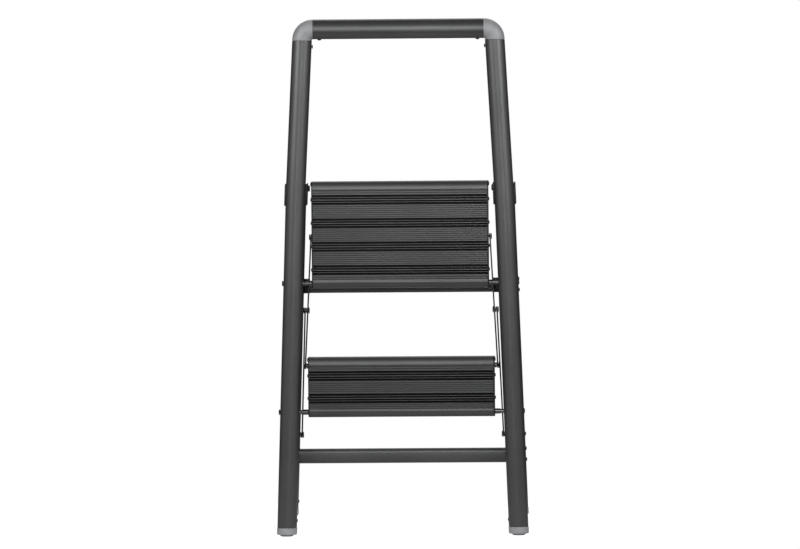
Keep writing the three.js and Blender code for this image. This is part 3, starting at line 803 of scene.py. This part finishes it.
def middle_pin(word, side):
    """The pin through tread link and brace, with a head on each side and a bare spacer."""
    back, up = LINK_ARM
    link = between(
        MIDDLE_PIVOT_Z,
        (TREADS["lower_tread"]["axle"] + up, TREAD_LINK_X["lower_tread"]),
        (TREADS["upper_tread"]["axle"] + up, TREAD_LINK_X["upper_tread"]),
    )
    brace = BRACE_X["top"]
    half = LINK_THICKNESS / 2 + 0.0005
    ease = 0.0002
    start, end = link + half, brace - half
    steps = [
        (link - half - 0.001, PIVOT_HEAD_RADIUS), (link - half, PIVOT_HEAD_RADIUS),
        (link - half, PIN_RADIUS), (start, PIN_RADIUS),
        (start, SPACER_RADIUS - ease), (start + ease, SPACER_RADIUS),
        (end - ease, SPACER_RADIUS), (end, SPACER_RADIUS - ease),
        (end, PIN_RADIUS), (brace + half, PIN_RADIUS),
        (brace + half, PIVOT_HEAD_RADIUS), (brace + half + 0.00045, PIVOT_HEAD_RADIUS),
    ]
    pin = stepped(f"{word}_middle_pivot_rivet", FRONT_Y + back, MIDDLE_PIVOT_Z, side, steps,
                  f"{word}_tread_link", f"{word}_middle_pivot_pin")
    brighten(pin, side, start, end)


def brace_pin(word, side):
    """The pin at the brace's foot, which ends just short of the rear leg's wall."""
    brace = BRACE_X["bottom"]
    half = LINK_THICKNESS / 2 + 0.0004
    leg = spread_at(BRACE_FOOT_Z) - TUBE_RADIUS - GAP
    profile = mirrored_profile(dome(half + 0.001 - brace, HEAD_RADIUS, 0.001))
    profile += [
        (brace - half, HEAD_RADIUS), (brace - half, PIN_RADIUS), (brace + half, PIN_RADIUS),
        (brace + half, SPACER_RADIUS), (leg, SPACER_RADIUS),
    ]
    mesh = turned((0, REAR_Y, BRACE_FOOT_Z), (side, 0, 0), profile)
    finished(f"{word}_brace_foot_rivet", mesh, BLACK_STEEL, f"{word}_brace_link",
             [f"{word}_brace_foot_pin"])


# ---------------------------------------------------------------- the object

top_bar()
lower_crossbar()
upper_crossbar()
for tread_name, tread in TREADS.items():
    tread_pieces(tread_name, tread)
    axle(f"{tread_name}_axle", tread)
for word, side in SIDES:
    front_rail(word, side)
    rear_leg(word, side)
    corner_elbow(word, side)
    tube_foot(word, side, "front", FRONT_Y, 0.0, 20, 1, "front_frame")
    tube_foot(word, side, "rear", REAR_Y, REAR_FOOT_Z, 15, -1, "rear_frame")
    hinge_pin(word, side)
    link_pin(word, side, "upper")
    link_pin(word, side, "lower")
    middle_pin(word, side)
    brace_pin(word, side)
    dressed(f"{word}_hinge_bracket", BLACK_PLASTIC, 0.0006)
    dressed(f"{word}_crossbar_socket", BLACK_PLASTIC, 0.0006)
    dressed(f"{word}_tread_link", BLACK_STEEL, 0.0004)
    dressed(f"{word}_brace_link", BLACK_STEEL, 0.0004)
fasteners()


# ---------------------------------------------------------------- floor, light and camera

def stage_floor():
    """A round light table: white to look at, and a weaker light from below."""
    mesh = bmesh.new()
    bmesh.ops.create_circle(mesh, cap_ends=True, segments=96, radius=FLOOR_RADIUS)
    data = bpy.data.meshes.new("floor")
    mesh.to_mesh(data)
    mesh.free()
    floor = bpy.data.objects.new("floor", data)
    bpy.context.scene.collection.objects.link(floor)
    material, shader = principled("pale_floor", (0.15, 0.15, 0.15), 0, 0.9, 0.1)
    shader.inputs["Emission Color"].default_value = (1, 1, 1, 1)
    tree = material.node_tree
    path = tree.nodes.new("ShaderNodeLightPath")
    tree.links.new(ranged(tree, path.outputs["Is Camera Ray"], FLOOR_GLOW, 1, 0, 1),
                   shader.inputs["Emission Strength"])
    tree.links.new(ranged(tree, scaled_noise(tree, 3, 2), 0.86, 0.94), shader.inputs["Roughness"])
    data.materials.append(material)


def soft_light(name, place, target, size, power, spread=180):
    light = bpy.data.lights.new(name, "AREA")
    light.shape = "RECTANGLE"
    light.size, light.size_y = size
    light.energy = power
    light.spread = math.radians(spread)
    lamp = bpy.data.objects.new(name, light)
    lamp.location = place
    aim = Vector(target) - Vector(place)
    lamp.rotation_euler = aim.to_track_quat("-Z", "Y").to_euler()
    lamp.visible_camera = False
    bpy.context.scene.collection.objects.link(lamp)


def studio():
    """A white backdrop to look at, a dim room to be lit by, and soft panels in front."""
    world = bpy.data.worlds.new("studio")
    world.use_nodes = True
    tree = world.node_tree
    backdrop = tree.nodes["Background"]
    backdrop.inputs["Color"].default_value = (1, 1, 1, 1)
    room = tree.nodes.new("ShaderNodeBackground")
    room.inputs["Color"].default_value = (1, 1, 1, 1)
    room.inputs["Strength"].default_value = ROOM_LIGHT
    path = tree.nodes.new("ShaderNodeLightPath")
    mix = tree.nodes.new("ShaderNodeMixShader")
    tree.links.new(path.outputs["Is Camera Ray"], mix.inputs["Fac"])
    tree.links.new(room.outputs["Background"], mix.inputs[1])
    tree.links.new(backdrop.outputs["Background"], mix.inputs[2])
    tree.links.new(mix.outputs["Shader"], tree.nodes["World Output"].inputs["Surface"])
    bpy.context.scene.world = world
    for word, side in SIDES:
        soft_light(f"{word}_panel", (side * 1.8, -1.8, 1.6), (0, 0, 1.15), (1.4, 0.8), 24, 100)
        soft_light(f"{word}_fill", (side * 2.6, -0.3, 0.9), (0, 0, 0.6), (2.0, 2.2), 7)
    soft_light("front_panel", (0.1, -2.6, 1.35), (0, 0, 1.1), (0.7, 1.7), 11, 110)
    soft_light("rear_panel", (0, 2.2, 2.6), (0, 0, 0.5), (2.8, 1.2), 25)
    bpy.context.scene.view_settings.view_transform = "Standard"


def camera():
    distance = 20.0
    azimuth, elevation, roll = math.radians(2.3), math.radians(3.5), math.radians(-0.53)
    data = bpy.data.cameras.new("camera")
    data.sensor_width = 36
    data.lens = 467.6
    data.clip_end = 100
    lens = bpy.data.objects.new("camera", data)
    back = Vector((
        math.sin(azimuth) * math.cos(elevation),
        -math.cos(azimuth) * math.cos(elevation),
        math.sin(elevation),
    ))
    target = Vector((-0.0010, FRONT_Y, 0.504))
    turn = (-back).to_track_quat("-Z", "Y").to_matrix().to_4x4()
    place = Matrix.Translation(target + back * distance)
    lens.matrix_world = place @ turn @ Matrix.Rotation(roll, 4, "Z")
    bpy.context.scene.collection.objects.link(lens)
    bpy.context.scene.camera = lens


stage_floor()
studio()
camera()
